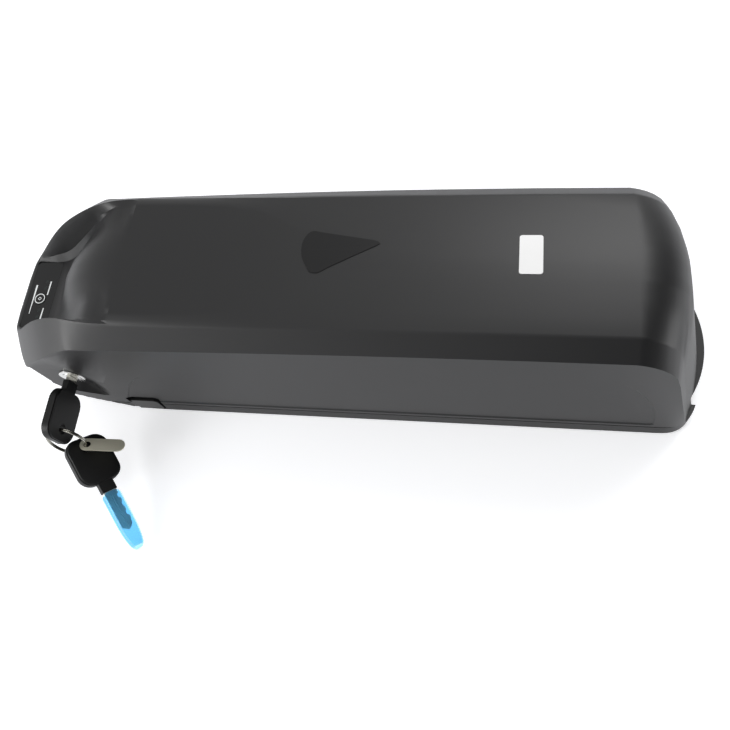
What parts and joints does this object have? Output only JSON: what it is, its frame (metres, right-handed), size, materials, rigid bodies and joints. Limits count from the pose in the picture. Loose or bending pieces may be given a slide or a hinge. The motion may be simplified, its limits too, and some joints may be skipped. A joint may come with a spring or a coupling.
{
  "type": "e-bike downtube battery",
  "caption": "Slide-in downtube battery pack in its frame cradle, with a scooped display nose, a key lock, keys on a ring and a capped charge port.",
  "frame": {"origin": "middle of the cradle, on the face that bears on the frame tube", "axes": "+X along the pack towards the tail and its connector, -X to the display nose, +Y away from the lock side, +Z away from the frame tube"},
  "size_m": [0.3741, 0.1765, 0.1043],
  "materials": {
    "shell_plastic": "fine matte moulded texture",
    "cradle_aluminium": "black anodised, satin",
    "cradle_plastic": "moulded, satin",
    "rubber": "soft matte",
    "bright_steel": "brushed",
    "chrome": "polished",
    "zinc": "cast, satin",
    "brass": "plain",
    "ivory_plastic": "moulded",
    "label_film": null,
    "board": "solder mask",
    "led": "clear domes",
    "clear_plastic": "clear light guide",
    "switch": "moulded",
    "button": null,
    "cell_sleeve": "shrink sleeve",
    "nickel": "plain nickel strip",
    "holder": "moulded",
    "fish_paper": "insulation sheet",
    "components": "moulded packages",
    "aluminium": "plain",
    "red_wire": "silicone insulation",
    "yellow_wire": "insulation",
    "white_wire": "insulation",
    "fuse_plastic": "coloured body",
    "foam": "closed-cell foam",
    "connector_plastic": "moulded",
    "decal": "thin film",
    "sticker": "thin film",
    "key_plastic": "moulded",
    "tag_metal": "pale satin, without marks",
    "sleeve": "clear blue"
  },
  "bodies": {
    "cradle": {"cradle_rail": "cradle_aluminium", "cradle_end": "cradle_plastic", "cradle_pads": "rubber", "strike_plate": "bright_steel", "terminal_block": "ivory_plastic", "terminal_blades": "brass", "cradle_screws": "bright_steel", "cable_grommet": "rubber"},
    "battery": {"upper_shell": "shell_plastic", "lower_shell": "shell_plastic", "shell_seals": "rubber", "shell_screws": "zinc", "display_label": "label_film", "indicator_board": "board", "charge_lights": "led", "light_guides": "clear_plastic", "button_switch": "switch", "cell_holder_left": "holder", "cell_holder_right": "holder", "cells": "cell_sleeve", "nickel_left": "nickel", "nickel_right": "nickel", "insulation_sheets": "fish_paper", "bms_board": "board", "bms_parts": "components", "heat_spreader": "aluminium", "discharge_leads": "red_wire", "charge_lead": "yellow_wire", "display_lead": "white_wire", "fuse_holder": "holder", "fuse": "fuse_plastic", "foam_pads": "foam", "discharge_connector": "connector_plastic", "discharge_contacts": "brass", "charge_socket": "connector_plastic", "charge_pin": "brass", "lock_barrel": "chrome", "lock_nut": "zinc", "top_decal": "decal", "top_sticker": "sticker"},
    "power_button": {"power_button": "button"},
    "charge_cap": {"charge_cap": "rubber"},
    "lock_plug": {"lock_plug": "chrome"},
    "lock_bolt": {"lock_bolt": "bright_steel"},
    "lock_key": {"key_blade": "bright_steel", "key_head": "key_plastic"},
    "key_ring": {"key_ring": "bright_steel"},
    "key_tag": {"key_tag": "tag_metal"},
    "spare_key": {"spare_key_blade": "bright_steel", "spare_key_head": "key_plastic", "spare_key_sleeve": "sleeve"}
  },
  "joints": [
    {"name": "battery_slide", "type": "slide", "parent": "cradle", "child": "battery", "axis": [-1, 0, 0], "range_m": [0, 0.03]},
    {"name": "button_press", "type": "slide", "parent": "battery", "child": "power_button", "axis": [0, 0, -1], "range_m": [0, 0.0006], "stiffness_N_per_m": 900, "springref_m": -0.0003},
    {"name": "cap_hinge", "type": "hinge", "parent": "battery", "child": "charge_cap", "pos_m": [-0.1349, -0.0447, 0.0096], "axis": [0, 0, -1], "range_deg": [0, 90]},
    {"name": "plug_turn", "type": "hinge", "parent": "battery", "child": "lock_plug", "pos_m": [-0.159, -0.0413, 0.04], "axis": [0, 1, 0], "range_deg": [0, 90]},
    {"name": "bolt_slide", "type": "slide", "parent": "battery", "child": "lock_bolt", "axis": [0, 0, -1], "range_m": [0, 0.00792]},
    {"name": "key_slide", "type": "slide", "parent": "lock_plug", "child": "lock_key", "axis": [0, -1, 0], "range_m": [0, 0.023]},
    {"name": "ring_swing", "type": "hinge", "parent": "lock_key", "child": "key_ring", "pos_m": [-0.159, -0.0723, 0.04], "axis": [1, 0, 0], "range_deg": [-40, 4]},
    {"name": "tag_swing", "type": "hinge", "parent": "key_ring", "child": "key_tag", "pos_m": [-0.14765, -0.07663, 0.02667], "axis": [0.2079, 0.3023, 0.9303], "range_deg": [-15, 15]},
    {"name": "spare_swing", "type": "hinge", "parent": "key_ring", "child": "spare_key", "pos_m": [-0.15011, -0.07819, 0.02188], "axis": [0.6428, 0.2367, 0.7286], "range_deg": [0, 15]}
  ],
  "couplings": [
    {"joint": "bolt_slide", "follows": "plug_turn", "m_per_rad": 0.0050418}
  ]
}
